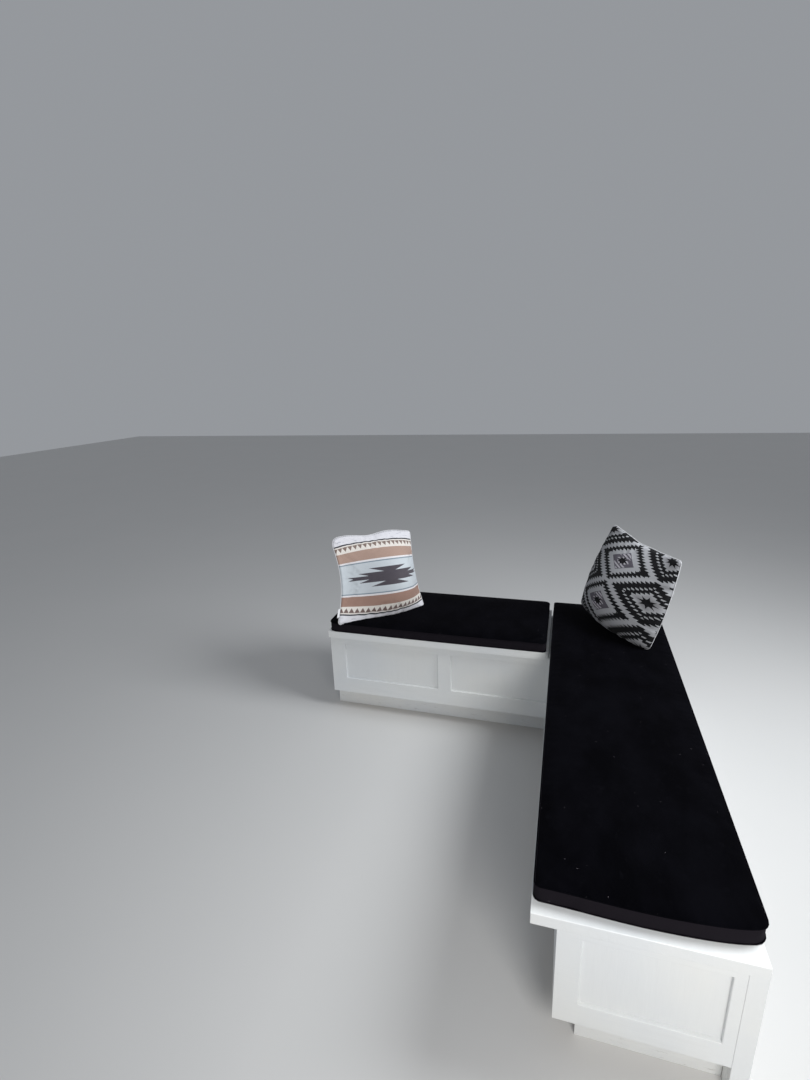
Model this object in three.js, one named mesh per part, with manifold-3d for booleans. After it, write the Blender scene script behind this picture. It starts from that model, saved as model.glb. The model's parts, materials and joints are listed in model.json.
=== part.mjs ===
// A houseboat's built-in corner settee: two locker benches in an L, hinged seat boards and cushions.
// Units are millimetres and +Z is up. The origin is on the floor, in the middle of the outline.
// Places are given from the room's corner: x = 0 is the right wall, y = 0 is the back wall,
// and everything on the settee is at x and y below 0.
import * as THREE from "three";
import { mergeVertices } from "three/addons/utils/BufferGeometryUtils.js";
import Module from "manifold-3d";

const wasm = await Module();
wasm.setup();

// Driving dimensions
const WIDTH = 1552; // along the back wall
const LENGTH = 1740; // along the right wall
const SEAT_TOP = 440; // top of the seat boards
const SEAT_BOARD = 32; // thickness of a seat board
const LONG_DEPTH = 494; // long seat board's front edge from the right wall
const SHORT_DEPTH = 488; // short seat board's front edge from the back wall
const LONG_OVERHANG = 61; // board beyond the long front
const SHORT_OVERHANG = 19; // board beyond the short front
const END_OVERHANG = 18; // board beyond the end panel
const WALL_GAP = 9; // rear edge of the seat boards from the wall, where the hinges are
const LID_GAP = 6; // between the two seat boards
const ROUNDED_CORNER = 20; // the short board's free corner

const TOE_HEIGHT = 100;
const TOE_DEPTH = 58; // plinths behind the fronts
const END_TOE_DEPTH = 42; // plinth behind the end panel
const SHEET = 9; // back panels and the boards behind the frame strips
const STRIP = 8.7; // planted frame strips
const PLY = 12; // floors and dividers
const SIDE = 18; // plinths and the left side
const BATTEN = 25; // thickness of the lid battens
const BATTEN_HEIGHT = 45;
const BEARER = 50; // width of the board under the joint of the seat boards
const BEARER_HEIGHT = 20;
const FILLER = 39; // scribing strip between the end panel and the right wall
const WALL_FACE = 3.3; // back panels stand this far off the wall, for the hinge leaves
const FIT = 0.3; // gap between pieces that touch

const PAD_HEIGHT = 40; // side of a seat cushion
const PAD_CROWN = 10; // its middle above its sides
const PAD_ROUND = 18; // radius of its edges and corners
const PAD_NEAR_GAP = 30; // long cushion from the board's near end
const PAD_SIDE_GAP = 4; // long cushion from the board's left edge
const PAD_FRONT_GAP = 2; // short cushion from the board's front edge
const PAD_END_GAP = 12; // short cushion from the board's right end
const PAD_WALL_GAP = 1; // both cushions from the wall

const HINGE_KNUCKLES = 5;
const KNUCKLE = 15; // length of one knuckle
const BARREL_RADIUS = 3;
const PIN_RADIUS = 1.4;
const BORE_RADIUS = 1.6;
const LEAF = 1.5;
const MOVING_LEAF = 1.8;
const AXIS_FROM_WALL = 4.5;
const AXIS_BELOW_TOP = 3.5;
const LEAF_DROP = 64; // fixed leaf, below the axis
const MOVING_DROP = 26; // moving leaf, below the axis
const LEAF_SHOULDER = 3.7; // leaf plates end this far below the axis, apart from their knuckles' tabs

const SCATTER_BACK = 62; // how far the back of a scatter cushion stands out behind its seams
const SCATTER_RIM = 6; // thickness at the seams
const SCATTER_FULL = 0.8; // under 1 is fuller towards the seams, over 1 is more pointed
const SCATTER_CLEAR = 0.7; // above the seat cushion

// Places that follow from the driving dimensions
const CARCASS_TOP = SEAT_TOP - SEAT_BOARD - FIT;
const LONG_FACE = LONG_OVERHANG - LONG_DEPTH;
const SHORT_FACE = SHORT_OVERHANG - SHORT_DEPTH;
const END_FACE = END_OVERHANG - LENGTH;
const LONG_SHEET = LONG_FACE + STRIP + FIT;
const SHORT_SHEET = SHORT_FACE + STRIP + FIT;
const END_SHEET = END_FACE + STRIP + FIT;
const LONG_INSIDE = LONG_SHEET + SHEET + FIT;
const SHORT_INSIDE = SHORT_SHEET + SHEET + FIT;
const END_INSIDE = END_SHEET + SHEET + FIT;
const BACK_INSIDE = -(WALL_FACE + SHEET + FIT);
const LEFT_INSIDE = -WIDTH + SIDE + FIT;
const LONG_PLINTH = LONG_FACE + TOE_DEPTH;
const SHORT_PLINTH = SHORT_FACE + TOE_DEPTH;
const END_PLINTH = END_FACE + END_TOE_DEPTH;
const PLINTH_TOP = TOE_HEIGHT - FIT;
const FLOOR_TOP = TOE_HEIGHT + PLY;
const SHORT_BOARD_END = -LONG_DEPTH - LID_GAP;
const AXIS_HEIGHT = SEAT_TOP - AXIS_BELOW_TOP;
const HINGE_LENGTH = HINGE_KNUCKLES * KNUCKLE + (HINGE_KNUCKLES - 1) * FIT;

// Frame strips: where the recesses of each front begin and end
const LONG_STILE = 65;
const LONG_MIDDLE = (END_FACE + SHORT_FACE) / 2;
const LONG_DIVIDER = LONG_MIDDLE - PLY / 2;
const SHORT_RECESSES = [
  { from: -1476, to: -1007 },
  { from: -942, to: -473 },
];
const SHORT_RECESS_Z = [180, 367];
const END_RECESS = { from: -375, to: -66 };
const END_RECESS_Z = [167, 370];

// The two scatter cushions, where each leans in its corner. "front" is how far the face stands
// out. As shares of the sides, "peak" is where it does so most, and "draw" is how far each pair
// of opposite sides draws in between the corners, or bows out if it is below 0.
const LEFT_SCATTER = {
  bottomLeft: [-1494, -496, 493],
  bottomRight: [-1137, -193, 489],
  topRight: [-1237, -75, 853],
  topLeft: [-1543, -416, 885],
  front: 126,
  peak: [0.64, 0.44],
  draw: [0.055, -0.06],
};
const CORNER_SCATTER = {
  bottomLeft: [-345, -73, 500],
  bottomRight: [-95, -458, 490],
  topRight: [-6, -436, 880],
  topLeft: [-234, -45, 910],
  front: 116,
  peak: [0.47, 0.37],
  draw: [-0.03, 0],
};

// Hinges: name, which lid, and the place of its middle along the wall
const HINGES = [
  { name: "long_hinge_near", lid: "long", along: -1560 },
  { name: "long_hinge_middle", lid: "long", along: -870 },
  { name: "long_hinge_far", lid: "long", along: -180 },
  { name: "short_hinge_left", lid: "short", along: -1360 },
  { name: "short_hinge_right", lid: "short", along: -690 },
];

const paint = () => new THREE.MeshStandardMaterial({ color: 0xeceeec, roughness: 0.42 });
const ply = () => new THREE.MeshStandardMaterial({ color: 0xd8c39a, roughness: 0.7 });
const velvet = () => new THREE.MeshStandardMaterial({ color: 0x0c0b12, roughness: 0.95 });
const steel = () => new THREE.MeshStandardMaterial({ color: 0xc2c4c6, roughness: 0.3, metalness: 1 });
const stripedCloth = () => new THREE.MeshStandardMaterial({ color: 0xddd8cf, roughness: 0.9 });
const diamondCloth = () => new THREE.MeshStandardMaterial({ color: 0xcfcfcd, roughness: 0.9 });

const settee = new THREE.Group();
settee.position.set(WIDTH / 2, LENGTH / 2, 0);

function add(name, geometry, material, parent = settee) {
  const mesh = new THREE.Mesh(geometry, material);
  mesh.name = name;
  parent.add(mesh);
  return mesh;
}

// A plain board between two places on each axis.
function board(name, x, y, z, material = paint()) {
  const geometry = new THREE.BoxGeometry(x[1] - x[0], y[1] - y[0], z[1] - z[0]);
  const mesh = add(name, geometry, material);
  mesh.position.set((x[0] + x[1]) / 2, (y[0] + y[1]) / 2, (z[0] + z[1]) / 2);
}

function solidOf(geometry) {
  const bare = geometry.clone();
  bare.deleteAttribute("normal");
  bare.deleteAttribute("uv");
  const merged = mergeVertices(bare);
  return new wasm.Manifold(
    new wasm.Mesh({
      numProp: 3,
      vertProperties: merged.attributes.position.array,
      triVerts: new Uint32Array(merged.index.array),
    }),
  );
}

function geometryOf(solid) {
  const mesh = solid.getMesh();
  const geometry = new THREE.BufferGeometry();
  geometry.setAttribute("position", new THREE.BufferAttribute(mesh.vertProperties, 3));
  geometry.setIndex(new THREE.BufferAttribute(mesh.triVerts, 1));
  geometry.computeVertexNormals();
  return geometry;
}

function boxSolid(x, y, z) {
  const geometry = new THREE.BoxGeometry(x[1] - x[0], y[1] - y[0], z[1] - z[0]);
  geometry.translate((x[0] + x[1]) / 2, (y[0] + y[1]) / 2, (z[0] + z[1]) / 2);
  return solidOf(geometry);
}

// A round bar along Y, from one place to another.
function barSolid(radius, y) {
  const geometry = new THREE.CylinderGeometry(radius, radius, y[1] - y[0], 16);
  geometry.translate(0, (y[0] + y[1]) / 2, 0);
  return solidOf(geometry);
}

// Boards that carry and close the long locker
function longCarcass() {
  const back = [-(WALL_FACE + SHEET), -WALL_FACE];
  const batten = [BACK_INSIDE - BATTEN, BACK_INSIDE];
  const inside = [LONG_INSIDE, BACK_INSIDE];
  const pieces = [
    {
      name: "long_front_plinth",
      x: [LONG_PLINTH, LONG_PLINTH + SIDE],
      y: [END_PLINTH + SIDE + FIT, SHORT_PLINTH - FIT],
      z: [0, PLINTH_TOP],
    },
    {
      name: "end_plinth",
      x: [LONG_PLINTH, -FILLER - FIT],
      y: [END_PLINTH, END_PLINTH + SIDE],
      z: [0, PLINTH_TOP],
    },
    { name: "long_back_panel", x: back, y: [END_INSIDE, -WALL_FACE], z: [0, CARCASS_TOP] },
    {
      name: "long_batten",
      x: batten,
      y: [END_INSIDE, BACK_INSIDE],
      z: [CARCASS_TOP - BATTEN_HEIGHT, CARCASS_TOP],
    },
  ];
  for (const piece of pieces) board(piece.name, piece.x, piece.y, piece.z);
  board("long_locker_floor", inside, [END_INSIDE, BACK_INSIDE], [TOE_HEIGHT, FLOOR_TOP], ply());
  board(
    "long_divider",
    [LONG_INSIDE, batten[0] - FIT],
    [LONG_DIVIDER, LONG_DIVIDER + PLY],
    [FLOOR_TOP + FIT, CARCASS_TOP],
    ply(),
  );
}

// Boards that carry and close the short locker
function shortCarcass() {
  const divider = [LONG_FACE, LONG_FACE + PLY];
  const joint = -LONG_DEPTH - LID_GAP / 2;
  const batten = [BACK_INSIDE - BATTEN, BACK_INSIDE];
  const pieces = [
    {
      name: "short_plinth",
      x: [-WIDTH, LONG_PLINTH + SIDE],
      y: [SHORT_PLINTH, SHORT_PLINTH + SIDE],
      z: [0, PLINTH_TOP],
    },
    {
      name: "left_plinth",
      x: [-WIDTH, -WIDTH + SIDE],
      y: [SHORT_PLINTH + SIDE + FIT, 0],
      z: [0, PLINTH_TOP],
    },
    {
      name: "left_side",
      x: [-WIDTH, -WIDTH + SIDE],
      y: [SHORT_INSIDE, 0],
      z: [TOE_HEIGHT, CARCASS_TOP],
    },
    {
      name: "back_panel",
      x: [LEFT_INSIDE, BACK_INSIDE],
      y: [-(WALL_FACE + SHEET), -WALL_FACE],
      z: [0, CARCASS_TOP],
    },
    {
      name: "short_batten",
      x: [LEFT_INSIDE, divider[0] - FIT],
      y: batten,
      z: [CARCASS_TOP - BATTEN_HEIGHT, CARCASS_TOP],
    },
    {
      name: "seat_bearer",
      x: [joint - BEARER / 2, joint + BEARER / 2],
      y: [SHORT_INSIDE, batten[0] - FIT],
      z: [CARCASS_TOP - BEARER_HEIGHT, CARCASS_TOP],
    },
  ];
  for (const piece of pieces) board(piece.name, piece.x, piece.y, piece.z);
  board(
    "corner_divider",
    divider,
    [SHORT_INSIDE + FIT, BACK_INSIDE],
    [TOE_HEIGHT, CARCASS_TOP],
    ply(),
  );
  board(
    "short_locker_floor",
    [LEFT_INSIDE, divider[0] - FIT],
    [SHORT_INSIDE, BACK_INSIDE],
    [TOE_HEIGHT, FLOOR_TOP],
    ply(),
  );
}

// A panelled front: a thin board with stiles and rails planted on it, which leave recesses.
// "across" runs along the front, and "out" is the strips' depth range on the other axis.
function panelledFront({ name, along, sheetAlong, out, sheet, across, z, recesses, recessZ }) {
  const place = (pieceName, s, d, height) => {
    const x = across === "x" ? s : d;
    const y = across === "x" ? d : s;
    board(pieceName, x, y, height);
  };
  place(name + "_sheet", sheetAlong, sheet, z);
  const edges = [along[0], ...recesses.flatMap((r) => [r.from, r.to]), along[1]];
  for (let i = 0; i < edges.length; i += 2) {
    place(name + "_stile_" + (i / 2 + 1), [edges[i], edges[i + 1]], out, z);
  }
  recesses.forEach((recess, i) => {
    const span = [recess.from + FIT, recess.to - FIT];
    place(name + "_bottom_rail_" + (i + 1), span, out, [z[0], recessZ[0]]);
    place(name + "_top_rail_" + (i + 1), span, out, [recessZ[1], z[1]]);
  });
}

function fronts() {
  const z = [TOE_HEIGHT, CARCASS_TOP];
  const nearStile = END_SHEET + LONG_STILE;
  const farStile = SHORT_FACE - LONG_STILE;
  panelledFront({
    name: "long_front",
    across: "y",
    along: [END_SHEET, SHORT_FACE - FIT],
    sheetAlong: [END_INSIDE, SHORT_INSIDE],
    out: [LONG_FACE, LONG_FACE + STRIP],
    sheet: [LONG_SHEET, LONG_SHEET + SHEET],
    z,
    recesses: [
      { from: nearStile, to: LONG_MIDDLE - LONG_STILE / 2 },
      { from: LONG_MIDDLE + LONG_STILE / 2, to: farStile },
    ],
    recessZ: END_RECESS_Z,
  });
  panelledFront({
    name: "short_front",
    across: "x",
    along: [-WIDTH, LONG_FACE],
    sheetAlong: [-WIDTH, LONG_SHEET - FIT],
    out: [SHORT_FACE, SHORT_FACE + STRIP],
    sheet: [SHORT_SHEET, SHORT_SHEET + SHEET],
    z,
    recesses: SHORT_RECESSES,
    recessZ: SHORT_RECESS_Z,
  });
  panelledFront({
    name: "end_panel",
    across: "x",
    along: [LONG_FACE, -FILLER - FIT],
    sheetAlong: [LONG_SHEET, -FILLER - FIT],
    out: [END_FACE, END_FACE + STRIP],
    sheet: [END_SHEET, END_SHEET + SHEET],
    z,
    recesses: [END_RECESS],
    recessZ: END_RECESS_Z,
  });
  board("filler_strip", [-FILLER, 0], [END_FACE, END_SHEET + SHEET], [0, CARCASS_TOP]);
  board(
    "filler_foot",
    [-FILLER, BACK_INSIDE],
    [END_SHEET + SHEET + FIT, END_PLINTH - FIT],
    [0, PLINTH_TOP],
  );
}

// The two seat boards, with the short one's free corner rounded
function seatBoards() {
  const z = [SEAT_TOP - SEAT_BOARD, SEAT_TOP];
  board("long_seat_board", [-LONG_DEPTH, -WALL_GAP], [-LENGTH, -WALL_GAP], z);
  const outline = new THREE.Shape();
  outline.moveTo(-WIDTH, -SHORT_DEPTH);
  outline.lineTo(SHORT_BOARD_END - ROUNDED_CORNER, -SHORT_DEPTH);
  outline.absarc(
    SHORT_BOARD_END - ROUNDED_CORNER,
    -SHORT_DEPTH + ROUNDED_CORNER,
    ROUNDED_CORNER,
    -Math.PI / 2,
    0,
  );
  outline.lineTo(SHORT_BOARD_END, -WALL_GAP);
  outline.lineTo(-WIDTH, -WALL_GAP);
  outline.closePath();
  const geometry = new THREE.ExtrudeGeometry(outline, {
    depth: SEAT_BOARD,
    bevelEnabled: false,
    curveSegments: 8,
  });
  const mesh = add("short_seat_board", geometry, paint());
  mesh.position.z = z[0];
}

// A crowned pad with rounded edges on a flat underside. Its steps crowd towards the edges.
function padGeometry(width, length) {
  const half = [width / 2, length / 2, PAD_HEIGHT / 2];
  const geometry = new THREE.BoxGeometry(2, 2, 2, 14, 20, 6);
  const position = geometry.attributes.position;
  for (let i = 0; i < position.count; i++) {
    const face = new THREE.Vector3().fromBufferAttribute(position, i).toArray();
    const spread = face.map((t, axis) => half[axis] * Math.sin((t * Math.PI) / 2));
    const core = spread.map((v, axis) => {
      const limit = half[axis] - PAD_ROUND;
      return Math.max(-limit, Math.min(limit, v));
    });
    const out = new THREE.Vector3().fromArray(spread.map((v, axis) => v - core[axis]));
    out.setLength(PAD_ROUND);
    const point = new THREE.Vector3().fromArray(core).add(out);
    if (point.z > 0) {
      const over = (1 - (point.x / half[0]) ** 2) * (1 - (point.y / half[1]) ** 2);
      point.z += (PAD_CROWN * over * point.z) / half[2];
    }
    position.setXYZ(i, point.x, point.y, point.z);
  }
  geometry.computeVertexNormals();
  return geometry;
}

function seatCushions() {
  const pads = [
    {
      name: "long_seat_cushion",
      x: [-LONG_DEPTH + PAD_SIDE_GAP, -PAD_WALL_GAP],
      y: [-LENGTH + PAD_NEAR_GAP, -PAD_WALL_GAP],
    },
    {
      name: "short_seat_cushion",
      x: [-WIDTH, SHORT_BOARD_END - PAD_END_GAP],
      y: [-SHORT_DEPTH + PAD_FRONT_GAP, -PAD_WALL_GAP],
    },
  ];
  for (const pad of pads) {
    const mesh = add(pad.name, padGeometry(pad.x[1] - pad.x[0], pad.y[1] - pad.y[0]), velvet());
    mesh.position.set(
      (pad.x[0] + pad.x[1]) / 2,
      (pad.y[0] + pad.y[1]) / 2,
      SEAT_TOP + FIT + PAD_HEIGHT / 2,
    );
  }
}

// A square scatter cushion between four corners: full in the middle, thin at its seams, and flat
// where it rests on the seat.
function scatterGeometry(cushion) {
  const [a, b, c, d] = [
    cushion.bottomLeft,
    cushion.bottomRight,
    cushion.topRight,
    cushion.topLeft,
  ].map((corner) => new THREE.Vector3().fromArray(corner));
  const normal = new THREE.Vector3().crossVectors(c.clone().sub(a), d.clone().sub(b)).normalize();
  const seat = SEAT_TOP + FIT + PAD_HEIGHT + PAD_CROWN + SCATTER_CLEAR;
  const arch = (t, peak = 0.5) => {
    const shifted = t ** (Math.log(0.5) / Math.log(peak));
    return Math.max(0, Math.sin(Math.PI * shifted)) ** SCATTER_FULL;
  };
  const geometry = new THREE.BoxGeometry(1, 1, 1, 14, 14, 1);
  const position = geometry.attributes.position;
  for (let i = 0; i < position.count; i++) {
    const [u, v, w] = [position.getX(i) + 0.5, position.getY(i) + 0.5, position.getZ(i)];
    const across = 0.5 + (u - 0.5) * (1 - 2 * cushion.draw[0] * Math.sin(Math.PI * v));
    const up = 0.5 + (v - 0.5) * (1 - 2 * cushion.draw[1] * Math.sin(Math.PI * u));
    const point = a.clone().lerp(b, across).lerp(d.clone().lerp(c, across), up);
    const rise =
      w > 0
        ? cushion.front * arch(u, cushion.peak[0]) * arch(v, cushion.peak[1])
        : SCATTER_BACK * arch(u) * arch(v);
    point.addScaledVector(normal, Math.sign(w) * (SCATTER_RIM / 2 + rise));
    position.setXYZ(i, point.x, point.y, Math.max(point.z, seat));
  }
  geometry.computeVertexNormals();
  return geometry;
}

// One leaf of a butt hinge, around an axis at x = 0 and z = 0 that runs along Y.
// Every second knuckle belongs to the same leaf.
function leafGeometry({ first, x, drop, pinned }) {
  const half = HINGE_LENGTH / 2;
  let solid = boxSolid(x, [-half, half], [-drop, -LEAF_SHOULDER]);
  for (let i = first; i < HINGE_KNUCKLES; i += 2) {
    const start = -half + i * (KNUCKLE + FIT);
    const span = [start, start + KNUCKLE];
    solid = solid.add(boxSolid(x, span, [-LEAF_SHOULDER - 1, 0]));
    solid = solid.add(barSolid(BARREL_RADIUS, span));
  }
  if (pinned) return geometryOf(solid.add(barSolid(PIN_RADIUS, [-half, half])));
  return geometryOf(solid.subtract(barSolid(BORE_RADIUS, [-half - 1, half + 1])));
}

function hinges() {
  const fixedPlate = [BARREL_RADIUS - LEAF, BARREL_RADIUS];
  const movingBack = -(WALL_GAP - FIT - AXIS_FROM_WALL);
  const movingPlate = [movingBack, movingBack + MOVING_LEAF];
  for (const hinge of HINGES) {
    const group = new THREE.Group();
    if (hinge.lid === "long") {
      group.position.set(-AXIS_FROM_WALL, hinge.along, AXIS_HEIGHT);
    } else {
      group.position.set(hinge.along, -AXIS_FROM_WALL, AXIS_HEIGHT);
      group.rotation.z = Math.PI / 2;
    }
    settee.add(group);
    const fixed = leafGeometry({ first: 0, x: fixedPlate, drop: LEAF_DROP, pinned: true });
    const moving = leafGeometry({ first: 1, x: movingPlate, drop: MOVING_DROP, pinned: false });
    add(hinge.name + "_fixed_leaf", fixed, steel(), group);
    add(hinge.name + "_moving_leaf", moving, steel(), group);
  }
}

longCarcass();
shortCarcass();
fronts();
seatBoards();
seatCushions();
add("left_scatter_cushion", scatterGeometry(LEFT_SCATTER), stripedCloth());
add("corner_scatter_cushion", scatterGeometry(CORNER_SCATTER), diamondCloth());
hinges();

export default settee;
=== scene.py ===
# A houseboat's corner settee: finishes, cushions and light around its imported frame.
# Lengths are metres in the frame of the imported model, with +Z up, unless a name says otherwise.
import json
import math

import bmesh
import bpy
import numpy as np
from mathutils import Matrix, Vector

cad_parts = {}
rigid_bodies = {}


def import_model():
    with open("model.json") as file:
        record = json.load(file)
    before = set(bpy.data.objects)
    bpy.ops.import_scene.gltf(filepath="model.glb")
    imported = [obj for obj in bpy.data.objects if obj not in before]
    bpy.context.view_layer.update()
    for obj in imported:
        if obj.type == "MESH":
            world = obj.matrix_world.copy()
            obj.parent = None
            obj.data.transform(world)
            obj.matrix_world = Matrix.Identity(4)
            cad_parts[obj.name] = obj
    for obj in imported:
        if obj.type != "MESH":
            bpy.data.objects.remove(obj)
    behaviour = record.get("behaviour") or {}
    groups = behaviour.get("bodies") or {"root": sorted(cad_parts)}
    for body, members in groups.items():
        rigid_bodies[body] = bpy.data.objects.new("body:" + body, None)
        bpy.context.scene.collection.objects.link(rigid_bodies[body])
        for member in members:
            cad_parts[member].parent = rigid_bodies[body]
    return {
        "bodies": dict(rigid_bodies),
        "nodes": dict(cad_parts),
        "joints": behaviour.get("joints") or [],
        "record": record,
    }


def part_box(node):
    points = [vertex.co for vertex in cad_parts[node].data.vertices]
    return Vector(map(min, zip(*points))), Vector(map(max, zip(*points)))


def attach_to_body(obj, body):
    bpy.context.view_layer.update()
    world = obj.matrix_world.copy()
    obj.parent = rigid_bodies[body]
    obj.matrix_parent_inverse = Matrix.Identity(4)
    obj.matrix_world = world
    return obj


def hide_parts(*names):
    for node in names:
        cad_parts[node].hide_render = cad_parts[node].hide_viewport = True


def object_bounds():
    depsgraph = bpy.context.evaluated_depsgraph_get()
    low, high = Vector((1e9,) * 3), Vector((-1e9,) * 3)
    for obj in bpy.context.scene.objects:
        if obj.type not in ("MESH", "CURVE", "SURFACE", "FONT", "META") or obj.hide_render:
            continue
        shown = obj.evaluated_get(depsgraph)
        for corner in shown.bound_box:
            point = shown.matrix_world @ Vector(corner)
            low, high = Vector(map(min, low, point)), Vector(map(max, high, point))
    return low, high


# Camera, solved from the photograph: lens in millimetres on a 36 mm sensor, angles in degrees
CAMERA_PLACE = (0.3126, -1.8556, 1.6230)
CAMERA_YAW = 16.831
CAMERA_PITCH = -16.509
CAMERA_ROLL = -2.026
LENS = 18.184

# Painted boards
BOARD_ROUND = 0.0012
SEAT_BOARD_ROUND = 0.0022
RECESS_ROUND = 0.0022
STRIP_ROUND = 0.0007
STRIP_REACH = 0.0004  # a frame goes this far back, past the gap to its sheet
PLY_ROUND = 0.0006
PLY_LAYERS = 430.0  # a metre
SAME = 0.00001  # places closer than this are one

# Seat cushions
PAD_SIDE = 0.041  # height of the side band
PAD_START = 0.001  # the pad starts this much smaller on each side, and swells
PAD_CROWN = 0.004  # crown before it swells
PAD_STEP = 0.012  # size of its quads
PAD_BANDS = 4
PAD_CAP = 0.007  # the furthest that a point moves as it swells
PAD_SEAM = 0.0022
PAD_CREASE = 0.75  # how crisp its seams stay, from 0 to 1
PAD_WALL = 0.0012  # it stops this far from the cabin's walls
PAD_SWELL = {"frames": 20, "pressure": 3.0, "shrink": -0.012}  # a shrink below 0 is growth
LONG_ROUNDS = (0.014, 0.022, 0.012, 0.012)  # plan radii: near left, near right, far right, far left
SHORT_ROUNDS = (0.042, 0.014, 0.025, 0.030)
LONG_NEAR = (0.022, 0.0035)  # its near edge: how far it turns back at the wall, and bows out
SHORT_NEAR = (0.0, 0.0015)

# Scatter cushions
SCATTER_STEPS = 72
SCATTER_SIDE = 0.45
SCATTER_THICK = 0.19  # of the cushion that is swelled for its folds
SCATTER_RIM = 0.003
SCATTER_BACK = 0.062  # how far the back stands out
SCATTER_FOLDS = 0.8  # share of the swelled cushion's folds that is kept
SCATTER_SEAM = 0.0013
SCATTER_SWELL = {"frames": 26, "pressure": 5.0}
SCATTER_DRAW = 0.10  # how far the sides of a swollen cushion draw in, as a share of its side
SEAT_CLEARANCE = 0.0012
SEAT_SOFTNESS = 0.003  # how gradually a cushion flattens where it meets the seat
WALL_CLEARANCE = 0.003
WEAVE = 1150.0  # of the cotton, in radians a side

# Tag of the left cushion
TAG_SPAN = (0.07, 0.19)  # in shares of the left side, from its lower end
TAG_WAY = (-0.55, -0.80, -0.10)
TAG_FACE = (0.80, -0.55, 0.0)
TAG_FOLD = ((0.0, -0.0008), (0.006, -0.0012), (0.011, -0.0009))  # reach and lift of one half
TAG_REACH = 0.0125
TAG_THICK = 0.0005

# Where each scatter cushion leans. "front" is how far its face stands out and "full" is under 1
# for a fuller face. In shares of a side, "peak" is where it stands out most, "draw" is how far
# its left, right, bottom and top sides draw in between the corners, or bow out if below 0,
# "rounds" is how much of each corner is rounded off, in the order that the corners are given in,
# and "dip" is where its top edge sinks, how widely and how far.
LEFT_CUSHION = {
    "bottom_left": (-0.718, 0.374, 0.484),
    "bottom_right": (-0.361, 0.677, 0.480),
    "top_right": (-0.461, 0.795, 0.853),
    "top_left": (-0.763, 0.457, 0.892),
    "front": 0.133,
    "full": 1.0,
    "peak": (0.655, 0.437),
    "draw": (0.075, 0.037, -0.072, -0.059),
    "rounds": (0.035, 0.050, 0.035, 0.090),
    "dip": (0.44, 0.20, 0.058),
}
CORNER_CUSHION = {
    "bottom_left": (0.416, 0.803, 0.512),
    "bottom_right": (0.678, 0.400, 0.485),
    "top_right": (0.775, 0.433, 0.883),
    "top_left": (0.544, 0.825, 0.926),
    "front": 0.122,
    "full": 0.731,
    "peak": (0.525, 0.323),
    "draw": (-0.037, -0.033, -0.023, 0.035),
    "rounds": (0.060, 0.070, 0.035, 0.050),
    "dip": (0.45, 0.10, 0.012),
}

# Print of the left cushion, in shares of a side in from its top and bottom edges
# The margin's painted crease shade reaches this far in from those edges; the rest below is print.
MARGIN_CREASES = 0.092
NAVY_LINE = (0.102, 0.117)
CREAM_START = 0.118
TRIANGLES = (0.131, 0.181)
TAN_BAND = (0.199, 0.306)
WHITE_LINE = (0.306, 0.325)
BLUE_LINE = (0.325, 0.338)
TRIANGLE_COUNT = 17.5
LOZENGE_HALF = 0.098  # half of its height
LOZENGE_MIDDLE = 0.53
TIER = 0.20  # height of its middle tier, as a share of that half
TIER_GROWTH = 0.13  # each tier is so much higher than the one before
TIER_INNER = 0.385  # reach of the middle tier to each side, where it starts and where it ends
TIER_OUTER = 0.450
INNER_STEP = -0.1615  # what the next tier's reach differs by
OUTER_STEP = -0.1215

# Print of the corner cushion, in squares of its pattern. Each diagonal counts squares from u and v,
# the shares of a side from the cushion's middle: factors of u, v, u * u and v * v, and its start
DIAGONAL_P = (1.139, 2.131, 0.69, -0.16, -0.553)
DIAGONAL_Q = (1.151, -2.067, -0.445, -0.366, 0.621)
TEETH = 12.5  # a square
TOOTH_LEAN = 0.3
DASH_LEAN = 0.5
SHEAR = 0.1
OUTER_RING = 0.374  # half sizes of the two rings and of the grey square
INNER_RING = 0.240
GREY_SQUARE = 0.20

# Hinge screws
SCREW_HEAD = 0.0029
SCREW_PROUD = 0.0004
SCREW_SINK = 0.0008  # depth of its cross slot
SLOT_REACH = 0.50  # of the slot's arms, and of the corners between them, in shares of its size
SLOT_CORE = 0.16
SCREW_RINGS = ((1.0, 0.0), (0.92, SCREW_PROUD), (0.55, SCREW_PROUD))  # share of its size, and lift
SCREW_POINTS = 16
FIXED_ROWS = (0.031, 0.051)  # below the top of a leaf
MOVING_ROWS = (0.020,)
SCREW_PLACES = (0.18, 0.5, 0.82)  # along a leaf
SCREW_SPIN = 2.1  # how much the slots' turn differs along a leaf, in radians

scene = bpy.context.scene


def srgb(red, green, blue):
    """A linear colour from the 0 to 255 values of a screen."""
    def linear(value):
        share = value / 255
        return share / 12.92 if share <= 0.04045 else ((share + 0.055) / 1.055) ** 2.4

    return (linear(red), linear(green), linear(blue), 1.0)


# Shader arithmetic


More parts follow.
